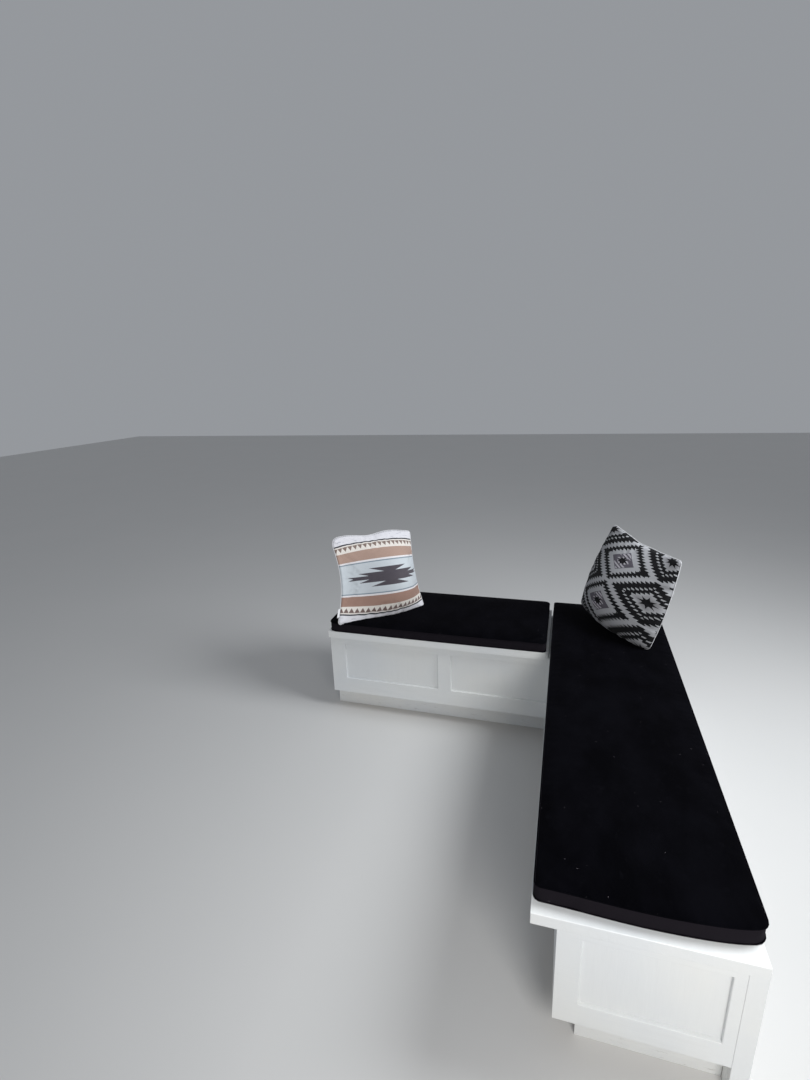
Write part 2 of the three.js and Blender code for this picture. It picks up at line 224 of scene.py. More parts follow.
class Field:
    """A number that varies over a surface, with plain arithmetic."""

    def __init__(self, tree, socket):
        self.tree = tree
        self.socket = socket

    def op(self, operation, *others):
        node = self.tree.nodes.new("ShaderNodeMath")
        node.operation = operation
        for slot, value in zip(node.inputs, (self, *others)):
            if isinstance(value, Field):
                self.tree.links.new(value.socket, slot)
            else:
                slot.default_value = value
        return Field(self.tree, node.outputs[0])

    def __add__(self, other):
        return self.op("ADD", other)

    def __sub__(self, other):
        return self.op("SUBTRACT", other)

    def __mul__(self, other):
        return self.op("MULTIPLY", other)

    def __truediv__(self, other):
        return self.op("DIVIDE", other)

    def __abs__(self):
        return self.op("ABSOLUTE")

    def __lt__(self, other):
        return self.op("LESS_THAN", other)

    def __gt__(self, other):
        return self.op("GREATER_THAN", other)

    def floor(self):
        return self.op("FLOOR")

    def fract(self):
        return self.op("FRACT")

    def max(self, other):
        return self.op("MAXIMUM", other)

    def reverse(self):
        return self * -1 + 1

    def between(self, low, high):
        """1 where the value lies between two others, else 0."""
        return (self > low) * (self < high)

    def ramp(self, low, high):
        """0 at one value, 1 at another, and straight between them."""
        node = self.tree.nodes.new("ShaderNodeMapRange")
        self.tree.links.new(self.socket, node.inputs["Value"])
        node.inputs["From Min"].default_value = low
        node.inputs["From Max"].default_value = high
        return Field(self.tree, node.outputs["Result"])


class Look:
    """A material in the making: its shader, and what its colour and relief are made of."""

    def __init__(self, name, **settings):
        self.material = bpy.data.materials.new(name)
        self.material.use_nodes = True
        self.tree = self.material.node_tree
        self.shader = self.tree.nodes["Principled BSDF"]
        for setting, value in settings.items():
            socket = setting.replace("_", " ").title().replace("Ior", "IOR")
            self.shader.inputs[socket].default_value = value
        coordinates = self.tree.nodes.new("ShaderNodeTexCoord")
        self.place = coordinates.outputs["Object"]
        self.normal = coordinates.outputs["Normal"]
        self.relief = None

    def axes(self, vector=None):
        """The three numbers of a vector, by default the place on the object."""
        split = self.tree.nodes.new("ShaderNodeSeparateXYZ")
        self.tree.links.new(vector or self.place, split.inputs[0])
        return [Field(self.tree, socket) for socket in split.outputs]

    def attribute(self, name):
        node = self.tree.nodes.new("ShaderNodeAttribute")
        node.attribute_name = name
        return node.outputs["Vector"]

    def stretched(self, scale, vector=None):
        mapping = self.tree.nodes.new("ShaderNodeMapping")
        mapping.inputs["Scale"].default_value = scale
        self.tree.links.new(vector or self.place, mapping.inputs["Vector"])
        return mapping.outputs[0]

    def noise(self, scale, detail=2.0, rough=0.5, vector=None):
        """Smooth noise from 0 to 1. Scale is features a metre on each axis."""
        node = self.tree.nodes.new("ShaderNodeTexNoise")
        node.inputs["Scale"].default_value = 1.0
        node.inputs["Detail"].default_value = detail
        node.inputs["Roughness"].default_value = rough
        self.tree.links.new(self.stretched(scale, vector), node.inputs["Vector"])
        return Field(self.tree, node.outputs[0])

    def cells(self, scale):
        """Distance to the nearest of scattered points, in cells."""
        node = self.tree.nodes.new("ShaderNodeTexVoronoi")
        node.inputs["Scale"].default_value = 1.0
        self.tree.links.new(self.stretched(scale), node.inputs["Vector"])
        return Field(self.tree, node.outputs["Distance"])

    def mix(self, share, first, second):
        """A colour between two others, each a tuple or a socket."""
        node = self.tree.nodes.new("ShaderNodeMix")
        node.data_type = "RGBA"
        self.tree.links.new(share.socket, node.inputs[0])
        for slot, value in ((node.inputs[6], first), (node.inputs[7], second)):
            if isinstance(value, bpy.types.NodeSocket):
                self.tree.links.new(value, slot)
            else:
                slot.default_value = value
        return node.outputs[2]

    def paint(self, color):
        self.tree.links.new(color, self.shader.inputs["Base Color"])

    def roughen(self, field):
        self.tree.links.new(field.socket, self.shader.inputs["Roughness"])

    def bump(self, height, depth):
        """Relief of that depth, on top of what is there already."""
        node = self.tree.nodes.new("ShaderNodeBump")
        node.inputs["Distance"].default_value = depth
        self.tree.links.new(height.socket, node.inputs["Height"])
        if self.relief:
            self.tree.links.new(self.relief, node.inputs["Normal"])
        self.relief = node.outputs[0]
        self.tree.links.new(self.relief, self.shader.inputs["Normal"])


def along(axis, across_value, along_value):
    """Features a metre on each axis, with another number along one of them."""
    scale = [across_value] * 3
    scale[axis] = along_value
    return scale


# Materials


def white_paint(axis):
    """Satin white, brushed along the board, with roller stipple and faint yellowing and grime."""
    look = Look("white_paint_" + "xyz"[axis], coat_weight=0.12, coat_roughness=0.3)
    strokes = look.noise(along(axis, 420.0, 9.0), 3.0, 0.6)
    waves = look.noise(along(axis, 38.0, 7.0), 2.0, 0.5)
    stipple = look.noise((900.0, 900.0, 900.0), 1.0)
    cloud = look.noise((3.2, 3.2, 3.2), 3.0)
    tint = look.mix(cloud.ramp(0.35, 0.68), srgb(226, 229, 231), srgb(233, 234, 232))
    tint = look.mix(strokes.ramp(0.62, 0.82) * 0.35, tint, srgb(214, 217, 219))
    height = look.axes()[2]
    scuff = look.noise((26.0, 26.0, 95.0), 4.0, 0.65).ramp(0.60, 0.72)
    low = height.ramp(0.11, 0.012) * scuff
    tint = look.mix(low * 0.45, tint, srgb(150, 147, 141))
    dust = look.cells((9.0, 9.0, 9.0))
    speck = (dust < 0.035) * (look.noise((5.0, 5.0, 5.0)) > 0.52)
    tint = look.mix(speck * 0.6, tint, srgb(150, 150, 146))
    look.paint(tint)
    look.roughen(strokes * 0.16 + cloud * 0.10 + 0.24)
    look.bump(waves, 0.0011)
    look.bump(strokes, 0.00022)
    look.bump(stipple, 0.00007)
    return look.material


def birch_ply(thin, axis):
    """Bare plywood: long grain with small flecks on its faces, glued layers on its edges."""
    look = Look("birch_ply_" + "xyz"[thin] + "xyz"[axis])
    grain = look.noise(along(axis, 70.0, 3.0), 5.0, 0.62)
    fleck = look.noise(along(axis, 620.0, 40.0), 2.0, 0.5)
    cloud = look.noise((2.6, 2.6, 2.6), 2.0)
    face = look.mix(grain.ramp(0.32, 0.70), srgb(222, 198, 156), srgb(198, 166, 118))
    face = look.mix(fleck.ramp(0.60, 0.78) * 0.55, face, srgb(170, 132, 86))
    face = look.mix(cloud.ramp(0.45, 0.75) * 0.3, face, srgb(186, 152, 106))
    facing = abs(look.axes(look.normal)[thin])
    layer = (look.axes()[thin] * PLY_LAYERS).fract()
    edge = look.mix(layer > 0.5, srgb(206, 176, 130), srgb(146, 108, 70))
    look.paint(look.mix(facing < 0.5, face, edge))
    look.roughen(grain * 0.2 + 0.5)
    look.bump(grain, 0.0003)
    look.bump(fleck, 0.00012)
    return look.material


def black_velvet():
    """Near-black short pile with brushed patches, a painted sheen that makes the side bands paler,
    and a few specks of lint.
    """
    look = Look(
        "black_velvet",
        roughness=0.95,
        specular_ior_level=0.04,
        sheen_weight=0.02,
        sheen_roughness=0.35,
        sheen_tint=(0.50, 0.45, 0.60, 1.0),
    )
    nap = look.noise((11.0, 7.0, 11.0), 3.0, 0.55)
    pile = look.noise((1500.0, 1500.0, 1500.0), 2.0, 0.7)
    crush = look.noise((46.0, 30.0, 46.0), 3.0, 0.6)
    # Painted sheen: where the surface stands upright, on the side bands, the colour is paler,
    # standing in for light caught by the pile.
    band = abs(look.axes(look.normal)[2]) < 0.62
    tint = look.mix(nap.ramp(0.36, 0.66), srgb(0, 0, 2), srgb(4, 4, 8))
    tint = look.mix(crush.ramp(0.60, 0.76) * 0.4, tint, srgb(10, 10, 15))
    tint = look.mix(band, tint, srgb(30, 27, 32))
    tint = look.mix(pile.ramp(0.55, 0.80) * 0.3, tint, srgb(16, 15, 20))
    lint = (look.cells((34.0, 34.0, 34.0)) < 0.030) * (look.noise((7.0, 7.0, 7.0)) > 0.54)
    threads = (look.cells((16.0, 130.0, 60.0)) < 0.045) * (look.noise((5.0, 9.0, 5.0)) > 0.60)
    look.paint(look.mix(lint.max(threads) * 0.65, tint, srgb(120, 114, 120)))
    look.bump(crush, 0.0007)
    look.bump(pile, 0.0006)
    return look.material


def finish_cotton(look, tint, across, up, pattern, ink=None):
    """Plain weave, slubs and a little unevenness of the dye over a printed colour, then black ink."""
    turn = (across * WEAVE).op("SINE") * (up * WEAVE).op("SINE")
    look.bump(turn * 0.5 + 0.5, 0.00035)
    slub = look.noise((30.0, 240.0, 1.0), 3.0, 0.6, pattern)
    wash = look.noise((5.0, 5.0, 5.0), 3.0)
    tint = look.mix(slub.ramp(0.52, 0.80) * 0.12, tint, srgb(128, 124, 124))
    tint = look.mix(wash.ramp(0.50, 0.75) * 0.08, tint, srgb(150, 146, 142))
    tint = look.mix(turn.ramp(0.1, 1.0) * 0.10, tint, srgb(250, 248, 244))
    if ink:
        tint = look.mix(ink * 0.98, tint, srgb(9, 9, 12))
    look.paint(tint)
    look.bump(slub, 0.0005)
    return look.material


def striped_cotton():
    """Mirrored bands: a margin with painted crease shade by its corners, thin lines, triangles and
    tan with painted light paling them towards the top, and a serrated lozenge.
    """
    look = Look("striped_cotton", roughness=0.88, sheen_weight=0.10, sheen_roughness=0.5)
    pattern = look.attribute("pattern")
    across, up, _ = look.axes(pattern)
    edge = abs(up - 0.5) * -1 + 0.5
    tint = look.mix(edge > CREAM_START, srgb(224, 223, 229), srgb(232, 225, 218))
    tint = look.mix(edge.between(*NAVY_LINE), tint, srgb(24, 25, 38))
    stitch = (edge < 0.012) * ((across * 43.0).fract() > 0.45) * (look.noise((9.0, 9.0, 9.0)) > 0.47)
    tint = look.mix(stitch * 0.7, tint, srgb(96, 98, 108))
    # Painted shade: bluish grey streaks in the margin near its corners stand in for shade in the
    # cloth's creases.
    by_corner = (edge < MARGIN_CREASES) * (abs(across - 0.5) > 0.20)
    crease = look.noise((9.0, 62.0, 1.0), 2.0, 0.6, pattern).ramp(0.58, 0.66) * by_corner
    tint = look.mix(crease * 0.55, tint, srgb(120, 128, 146))
    step = (across * TRIANGLE_COUNT + 0.3).fract()
    slope = abs(step - 0.5) * 2.0
    rise = edge.ramp(*TRIANGLES)
    triangle = edge.between(*TRIANGLES) * ((rise + slope) < 1.02)
    # Painted light: the triangles and the tan band are paler towards the cushion's top, where more
    # light falls.
    painted_top_light = up.ramp(0.35, 0.65)
    tint = look.mix(triangle, tint, look.mix(painted_top_light, srgb(114, 93, 89), srgb(130, 112, 104)))
    tan = look.mix(painted_top_light, srgb(158, 124, 110), srgb(173, 144, 130))
    tint = look.mix(edge.between(*TAN_BAND), tint, tan)
    tint = look.mix(edge.between(*WHITE_LINE), tint, srgb(232, 228, 230))
    tint = look.mix(edge.between(*BLUE_LINE), tint, srgb(132, 146, 158))
    tint = look.mix(edge > BLUE_LINE[1], tint, srgb(200, 207, 213))
    level = abs(up - 0.5) / LOZENGE_HALF
    tier = (level > TIER) + (level > 2 * TIER + TIER_GROWTH)
    share = (level - tier * TIER - (tier > 1.5) * TIER_GROWTH) / (tier * TIER_GROWTH + TIER)
    inner = tier * INNER_STEP + TIER_INNER
    outer = tier * OUTER_STEP + TIER_OUTER
    reach = inner + (outer - inner) * share
    lozenge = (level < 1.0) * (abs(across - LOZENGE_MIDDLE) < reach)
    tint = look.mix(lozenge, tint, srgb(66, 60, 70))
    return finish_cotton(look, tint, across, up, pattern)


def toothed_ring(a, b, half, core, teeth):
    """A square ring of black teeth that all lean the same way, on both sides of a solid core."""
    upright = abs(a) > abs(b)
    along_side = a + (b - a) * upright
    beyond = b + (a - b) * upright
    tooth = ((along_side - beyond * TOOTH_LEAN) * TEETH).fract()
    lean = abs(tooth - 0.5) * 2.0
    return abs(abs(a).max(abs(b)) - half) < lean * -1.0 * teeth + (core + teeth)


def spiked(a, b, reach):
    """A star with four hollow-sided arms."""
    return (abs(a) * abs(b) * 30.0 + abs(a) + abs(b)) < reach


def diagonal(u, v, factors):
    """Squares counted along one diagonal. The cloth is askew, so their rows bend a little."""
    by_u, by_v, bend_u, bend_v, start = factors
    return u * by_u + v * by_v + u * u * bend_u + v * v * bend_v + start


def diamond_cotton():
    """Off-white with squares on its diagonals: rings of slanted teeth around black stars."""
    look = Look("diamond_cotton", roughness=0.9, specular_ior_level=0.12, sheen_weight=0.03)
    pattern = look.attribute("pattern")
    across, up, _ = look.axes(pattern)
    u = across - 0.5
    v = up - 0.5
    p = diagonal(u, v, DIAGONAL_P)
    q = diagonal(u, v, DIAGONAL_Q)
    column = (p + 0.5).floor()
    row = (q + 0.5).floor()
    straight_a = p - column
    straight_b = q - row
    a = straight_a + straight_b * SHEAR
    b = straight_b + straight_a * SHEAR
    grey_cell = abs((column + row) * 0.5).fract() < 0.25
    distance = abs(a).max(abs(b))
    slant = a - b
    outer = toothed_ring(a, b, OUTER_RING, grey_cell * -0.020 + 0.038, 0.070)
    inner = toothed_ring(a, b, INNER_RING, 0.020, 0.048) * grey_cell.reverse()
    blob = (abs(slant) < 0.10) * distance.between(0.31, 0.43)
    tint = look.mix(grey_cell * (distance < GREY_SQUARE), srgb(170, 171, 175), srgb(92, 89, 98))
    dashes = ((a - b * DASH_LEAN) * TEETH).fract() > 0.5
    corner = (abs(slant) < 0.15) * distance.between(0.11, GREY_SQUARE)
    plain = grey_cell * corner.reverse() * (distance < 0.185)
    tint = look.mix(plain * dashes, tint, srgb(186, 183, 190))
    tint = look.mix(grey_cell * corner, tint, srgb(88, 84, 94))
    halo = distance.ramp(0.20, 0.08) * grey_cell.reverse() * 0.7
    tint = look.mix(halo, tint, srgb(120, 118, 122))
    reach = grey_cell * -0.035 + 0.165
    star = spiked(a, b, reach).max(spiked((a + b) * 0.7, slant * 0.7, reach))
    ink = outer.max(inner).max(blob).max(star)
    return finish_cotton(look, tint, across, up, pattern, ink)


def hinge_steel():
    """Zinc plate with fine brushing, dull patches and dark handling marks."""
    look = Look("hinge_steel", metallic=1.0)
    brushed = look.noise((1400.0, 60.0, 1400.0), 3.0, 0.6)
    cloud = look.noise((55.0, 55.0, 55.0), 4.0, 0.6)
    tint = look.mix(cloud.ramp(0.40, 0.70), srgb(196, 199, 202), srgb(168, 171, 173))
    look.paint(look.mix(brushed.ramp(0.6, 0.85) * 0.4, tint, srgb(140, 143, 146)))
    look.roughen(cloud * 0.35 + 0.18)
    look.bump(brushed, 0.00008)
    return look.material


def plain_cotton():
    """Unprinted white cotton, for the scatter cushions' seams and the tag."""
    look = Look("plain_cotton", roughness=0.85)
    ribs = look.noise((1800.0, 1800.0, 300.0), 2.0, 0.5)
    look.paint(look.mix(ribs.ramp(0.4, 0.7), srgb(238, 238, 240), srgb(222, 222, 226)))
    look.bump(ribs, 0.0002)
    return look.material


def floor_paint():
    """Plain pale floor."""
    look = Look("floor", roughness=0.75)
    cloud = look.noise((1.5, 1.5, 1.5), 3.0)
    look.paint(look.mix(cloud, srgb(205, 205, 204), srgb(209, 208, 207)))
    return look.material


# Camera, floor and light


def make_camera():
    yaw, pitch, roll = (math.radians(v) for v in (CAMERA_YAW, CAMERA_PITCH, CAMERA_ROLL))
    forward = Vector(
        (-math.sin(yaw) * math.cos(pitch), math.cos(yaw) * math.cos(pitch), math.sin(pitch))
    )
    level = Vector((math.cos(yaw), math.sin(yaw), 0))
    upright = level.cross(forward)
    right = level * math.cos(roll) + upright * math.sin(roll)
    up = upright * math.cos(roll) - level * math.sin(roll)
    turn = Matrix((right, up, -forward)).transposed()
    data = bpy.data.cameras.new("camera")
    data.lens = LENS
    data.sensor_width = 36
    camera = bpy.data.objects.new("camera", data)
    camera.matrix_world = Matrix.Translation(CAMERA_PLACE) @ turn.to_4x4()
    scene.collection.objects.link(camera)
    scene.camera = camera


def make_floor():
    mesh = bpy.data.meshes.new("floor")
    reach = 14.0
    corners = [(-reach, -reach, 0), (reach, -reach, 0), (reach, reach, 0), (-reach, reach, 0)]
    mesh.from_pydata(corners, [], [(0, 1, 2, 3)])
    mesh.materials.append(floor_paint())
    floor = bpy.data.objects.new("floor", mesh)
    scene.collection.objects.link(floor)


def area_light(name, place, target, size, power, color):
    data = bpy.data.lights.new(name, "AREA")
    data.shape = "DISK"
    data.size = size
    data.energy = power
    data.color = color
    light = bpy.data.objects.new(name, data)
    light.location = place
    aim = Vector(target) - Vector(place)
    light.rotation_euler = aim.to_track_quat("-Z", "Y").to_euler()
    scene.collection.objects.link(light)


def make_light():
    area_light(
        "key",
        place=(0.9, -2.0, 1.3),
        target=(0.6, -0.87, 0.25),
        size=0.8,
        power=17.0,
        color=(1.0, 0.98, 0.95),
    )
    area_light(
        "window",
        place=(1.9, 0.1, 2.5),
        target=(-0.5, 0.4, 0.6),
        size=1.4,
        power=74.0,
        color=(0.95, 0.98, 1.0),
    )
    world = bpy.data.worlds.new("world")
    world.use_nodes = True
    background = world.node_tree.nodes["Background"]
    background.inputs[0].default_value = (0.86, 0.90, 0.96, 1.0)
    background.inputs[1].default_value = 0.35
    scene.world = world
    scene.view_settings.view_transform = "Standard"
    scene.view_settings.look = "None"


# Meshes


def new_piece(name, points, faces, material, smooth=True):
    mesh = bpy.data.meshes.new(name)
    mesh.from_pydata([tuple(float(v) for v in point) for point in points], [], faces)
    mesh.materials.append(material)
    mesh.polygons.foreach_set("use_smooth", [smooth] * len(mesh.polygons))
    mesh.update()
    piece = bpy.data.objects.new(name, mesh)
    scene.collection.objects.link(piece)
    return piece


def attach(piece, body, slot, *nodes):
    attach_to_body(piece, body)
    if nodes:
        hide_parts(*nodes)


def make_finer(piece):
    finer = piece.modifiers.new("finer", "SUBSURF")
    finer.levels = finer.render_levels = 1


def place_points(piece, points):
    piece.data.vertices.foreach_set("co", points.astype(np.float32).ravel())
    piece.data.update()


def tube(points, radius, sides=8):
    """Points and quads of a round bead along a closed loop."""
    loop = np.asarray(points, float)
    ahead = np.roll(loop, -1, 0) - np.roll(loop, 1, 0)
    ahead /= np.linalg.norm(ahead, axis=1)[:, None]
    rest = np.array((0.0, 0.0, 1.0))
    upright = np.abs(ahead @ rest) > 0.92
    side = np.where(upright[:, None], np.cross(ahead, (1.0, 0.0, 0.0)), np.cross(ahead, rest))
    side /= np.linalg.norm(side, axis=1)[:, None]
    over = np.cross(side, ahead)
    angles = np.arange(sides) * 2 * math.pi / sides
    ring = (
        loop[:, None]
        + radius * np.cos(angles)[None, :, None] * side[:, None]
        + radius * np.sin(angles)[None, :, None] * over[:, None]
    )
    count = len(loop)
    faces = [
        (
            i * sides + k,
            i * sides + (k + 1) % sides,
            (i + 1) % count * sides + (k + 1) % sides,
            (i + 1) % count * sides + k,
        )
        for i in range(count)
        for k in range(sides)
    ]
    return ring.reshape(-1, 3), faces


def simulate(piece, frames, pressure, pinned=None, shrink=0.0, rest=None):
    """Swells a closed mesh with cloth under pressure and returns where its points end."""
    cloth = piece.modifiers.new("swell", "CLOTH")
    settings = cloth.settings
    settings.use_pressure = True
    settings.uniform_pressure_force = pressure
    settings.effector_weights.gravity = 0
    settings.quality = 6
    settings.shrink_min = shrink
    if pinned:
        settings.vertex_group_mass = pinned
    if rest:
        settings.rest_shape_key = rest
    for frame in range(1, frames + 1):
        scene.frame_set(frame)
    shape = piece.evaluated_get(bpy.context.evaluated_depsgraph_get()).data
    points = np.array([vertex.co for vertex in shape.vertices], float)
    piece.modifiers.remove(cloth)
    scene.frame_set(1)
    return points


def soft_cap(move, cap):
    """Shortens long moves smoothly, so that none is longer than the cap."""
    length = np.linalg.norm(move, axis=1)[:, None]
    return move * np.where(length > 1e-9, cap * np.tanh(length / cap) / np.maximum(length, 1e-9), 1)


# Painted boards and panelled fronts


def round_edges(piece, width):
    weld = piece.modifiers.new("weld", "WELD")
    weld.merge_threshold = 0.00001
    bevel = piece.modifiers.new("round", "BEVEL")
    bevel.width = width
    bevel.segments = 3
    bevel.limit_method = "ANGLE"
    bevel.angle_limit = math.radians(30)
    bevel.harden_normals = True


def dress(piece, material):
    piece.data.materials.clear()
    piece.data.materials.append(material)


def long_axis(name):
    low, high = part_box(name)
    return int(np.argmax(np.array(high - low)))


def thin_axis(name):
    low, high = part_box(name)
    return int(np.argmin(np.array(high - low)))


def dress_boards():
    """Paint and plywood on the plain boards. The recessed sheets are brushed upright."""
    plies = {}
    for name, slot in SLOTS.items():
        board = frame["nodes"][name]
        if slot == "white_paint":
            dress(board, PAINTS[2 if name.endswith("sheet") else long_axis(name)])
            round_edges(board, SEAT_BOARD_ROUND if "seat_board" in name else BOARD_ROUND)
        elif slot == "birch_ply":
            way = (thin_axis(name), long_axis(name))
            if way not in plies:
                plies[way] = birch_ply(*way)
            dress(board, plies[way])
            round_edges(board, PLY_ROUND)


def numbered(front, kind):
    """Boxes of a front's pieces of one kind, in order."""
    names = sorted(name for name in frame["nodes"] if name.startswith(front + "_" + kind))
    return names, [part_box(name) for name in names]


def slab_with_openings(run, steps, levels, outside, inside):
    """A front from its plane back to its inside, with an opening between each two stiles."""
    deep = 1 - run

    def point(step, level):
        place = [0.0, 0.0, level]
        place[run] = step
        place[deep] = outside
        return place

    mesh = bmesh.new()
    grid = [[mesh.verts.new(point(step, level)) for level in levels] for step in steps]
    faces = [
        mesh.faces.new((grid[i][j], grid[i + 1][j], grid[i + 1][j + 1], grid[i][j + 1]))
        for i in range(len(steps) - 1)
        for j in range(3)
        if i % 2 == 0 or j != 1
    ]
    for pushed in bmesh.ops.extrude_face_region(mesh, geom=faces)["geom"]:
        if isinstance(pushed, bmesh.types.BMVert):
            pushed.co[deep] = inside
    bmesh.ops.recalc_face_normals(mesh, faces=mesh.faces)
    return mesh


def soften(mesh, run, steps, levels, outside):
    """Rounds the front edges, those around the openings more than the outer ones."""
    deep = 1 - run

    def on_rim(edge):
        at_front = all(abs(v.co[deep] - outside) < SAME for v in edge.verts)
        turned = any(abs(face.normal[deep]) < 0.5 for face in edge.link_faces)
        return at_front and turned

    def around_opening(edge):
        middle = (edge.verts[0].co + edge.verts[1].co) / 2
        between_sides = steps[0] + SAME < middle[run] < steps[-1] - SAME
        return between_sides and levels[0] + SAME < middle.z < levels[-1] - SAME

    def bevel(edges, width, segments):
        bmesh.ops.bevel(
            mesh, geom=edges, offset=width, segments=segments, profile=0.5, affect="EDGES"
        )

    bevel([edge for edge in mesh.edges if on_rim(edge) and around_opening(edge)], RECESS_ROUND, 4)
    bevel([edge for edge in mesh.edges if on_rim(edge) and not around_opening(edge)], STRIP_ROUND, 2)


def panel_frame(front, body):
    """The stiles and rails of a front as one painted frame, with softly rounded recess edges."""
    low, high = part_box(front + "_sheet")
    run = 0 if high.x - low.x > high.y - low.y else 1
    stile_names, stiles = numbered(front, "stile")
    bottom_names, bottoms = numbered(front, "bottom_rail")
    top_names, tops = numbered(front, "top_rail")
    steps = [edge for box in stiles for edge in (box[0][run], box[1][run])]
    levels = [stiles[0][0].z, bottoms[0][1].z, tops[0][0].z, stiles[0][1].z]
    outside, inside = (corner[1 - run] for corner in stiles[0])
    mesh = slab_with_openings(run, steps, levels, outside, inside + STRIP_REACH)
    soften(mesh, run, steps, levels, outside)
    data = bpy.data.meshes.new(front + "_frame")
    mesh.to_mesh(data)
    mesh.free()
    piece = bpy.data.objects.new(front + "_frame", data)
    scene.collection.objects.link(piece)
    dress(piece, PAINTS[run])
    attach(piece, body, "white_paint", *stile_names, *bottom_names, *top_names)


# Seat cushions


def pad_outline(columns, rows):
    """Grid places around a pad's edge, anticlockwise from above."""
    near = [(i, 0) for i in range(columns)]
    right = [(columns, j) for j in range(rows)]
    far = [(i, rows) for i in range(columns, 0, -1)]
    left = [(0, j) for j in range(rows, 0, -1)]
    return near + right + far + left


def pad_spot(share, half, rounds, near_edge):
    """Where a share of a pad's half size lies, with rounded corners and a bent near edge."""
    spot = np.array(share) * half
    corner = (0 if spot[0] < 0 else 1) if spot[1] < 0 else (3 if spot[0] < 0 else 2)
    core = half - rounds[corner]
    out = np.abs(spot) - core
    if out.min() > 0:
        out *= out.max() / np.linalg.norm(out)
        spot = np.sign(spot) * (core + out)
    turn, bow = near_edge
    near = (0.5 - spot[1] / half[1] / 2) ** 6
    spot[1] += near * turn * (0.5 + spot[0] / half[0] / 2) ** 10
    spot[1] -= near * bow * math.cos(math.pi * spot[0] / half[0])
    return spot


def pad_crown(spot, half):
    """How far a pad's top stands above its upper seam before it swells."""
    share = np.clip(np.abs(spot) / half, 0, 1) ** 4
    return PAD_CROWN * (1 - share[0]) * (1 - share[1])


def pad_mesh(spots, columns, rows, half, middle, base):
    """Points and faces of a pad, and the loops around its side from the underside to the top."""
    points = []
    places = {}
    for side in ("top", "under"):
        for (i, j), spot in spots.items():
            places[side, i, j] = len(points)
            height = base + PAD_SIDE + pad_crown(spot, half) if side == "top" else base
            points.append((*(spot + middle), height))
    loop = pad_outline(columns, rows)
    levels = [[places["under", i, j] for i, j in loop]]
    for band in range(1, PAD_BANDS):
        levels.append(list(range(len(points), len(points) + len(loop))))
        height = base + PAD_SIDE * band / PAD_BANDS
        points += [(*(spots[place] + middle), height) for place in loop]
    levels.append([places["top", i, j] for i, j in loop])
    faces = []
    for i in range(columns):
        for j in range(rows):
            ring = [(i, j), (i + 1, j), (i + 1, j + 1), (i, j + 1)]
            faces.append([places["top", a, b] for a, b in ring])
            faces.append([places["under", a, b] for a, b in reversed(ring)])
    for lower, upper in zip(levels, levels[1:]):
        for n in range(len(loop)):
            after = (n + 1) % len(loop)
            faces.append([lower[n], lower[after], upper[after], upper[n]])
    return points, faces, levels


def crisp_seams(piece, levels):
    """Keeps the edges along a pad's two seams crisp when its mesh is made finer."""
    seams = set()
    for level in (levels[0], levels[-1]):
        seams.update(frozenset(pair) for pair in zip(level, level[1:] + level[:1]))
    crease = piece.data.attributes.new("crease_edge", "FLOAT", "EDGE")
    values = [PAD_CREASE if frozenset(edge.vertices) in seams else 0.0 for edge in piece.data.edges]
    crease.data.foreach_set("value", values)


def seat_cushion(node, body, rounds, near_edge):
    """A boxed pad whose cover swells a little under pressure, with a bead along its seams."""
    low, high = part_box(node)
    half = np.array([(high.x - low.x) / 2 - PAD_START, (high.y - low.y) / 2 - PAD_START])
    middle = np.array([(high.x + low.x) / 2, (high.y + low.y) / 2])
    columns, rows = (int(round(2 * h / PAD_STEP)) for h in half)
    spots = {
        (i, j): pad_spot((2 * i / columns - 1, 2 * j / rows - 1), half, rounds, near_edge)
        for i in range(columns + 1)
        for j in range(rows + 1)
    }
    points, faces, levels = pad_mesh(spots, columns, rows, half, middle, low.z)
    piece = new_piece(node + "_cover", points, faces, VELVET)
    held = piece.vertex_groups.new(name="held")
    grid = len(spots)
    held.add(list(range(grid, 2 * grid)) + levels[-1], 1.0, "REPLACE")
    points = np.array(points)
    swelled = simulate(piece, pinned="held", **PAD_SWELL)
    points += soft_cap(swelled - points, PAD_CAP)
    points[:, 0] = np.minimum(points[:, 0], CAD_HIGH[0] - PAD_WALL)
    points[:, 1] = np.minimum(points[:, 1], CAD_HIGH[1] - PAD_WALL)
    place_points(piece, points)
    crisp_seams(piece, levels)
    make_finer(piece)
    attach(piece, body, "black_velvet", node)
    for name, level, lift in (("upper", levels[-1], 0), ("lower", levels[0], PAD_SEAM)):
        line = points[level] + np.array((0, 0, lift))
        bead = new_piece(node + "_" + name + "_seam", *tube(line, PAD_SEAM), VELVET)
        attach(bead, body, "black_velvet")
    return points[:grid, 2].reshape(columns + 1, rows + 1)


# Scatter cushions


def pillow_grid(steps):
    """Places, faces and rim of two square sheets joined along their edges, in shares of a side."""
    index = {}
    shares = []
    for side in (1, -1):
        for i in range(steps + 1):
            for j in range(steps + 1):
                rim = i in (0, steps) or j in (0, steps)
                if side < 0 and rim:
                    index[side, i, j] = index[1, i, j]
                    continue
                index[side, i, j] = len(shares)
                shares.append((i / steps, j / steps, 0 if rim else side))
    faces = []
    for i in range(steps):
        for j in range(steps):
            ring = [(i, j), (i + 1, j), (i + 1, j + 1), (i, j + 1)]
            faces.append([index[1, a, b] for a, b in ring])
            faces.append([index[-1, a, b] for a, b in reversed(ring)])
    rim = [index[1, i, j] for i, j in pad_outline(steps, steps)]
    return np.array(shares), faces, rim, index


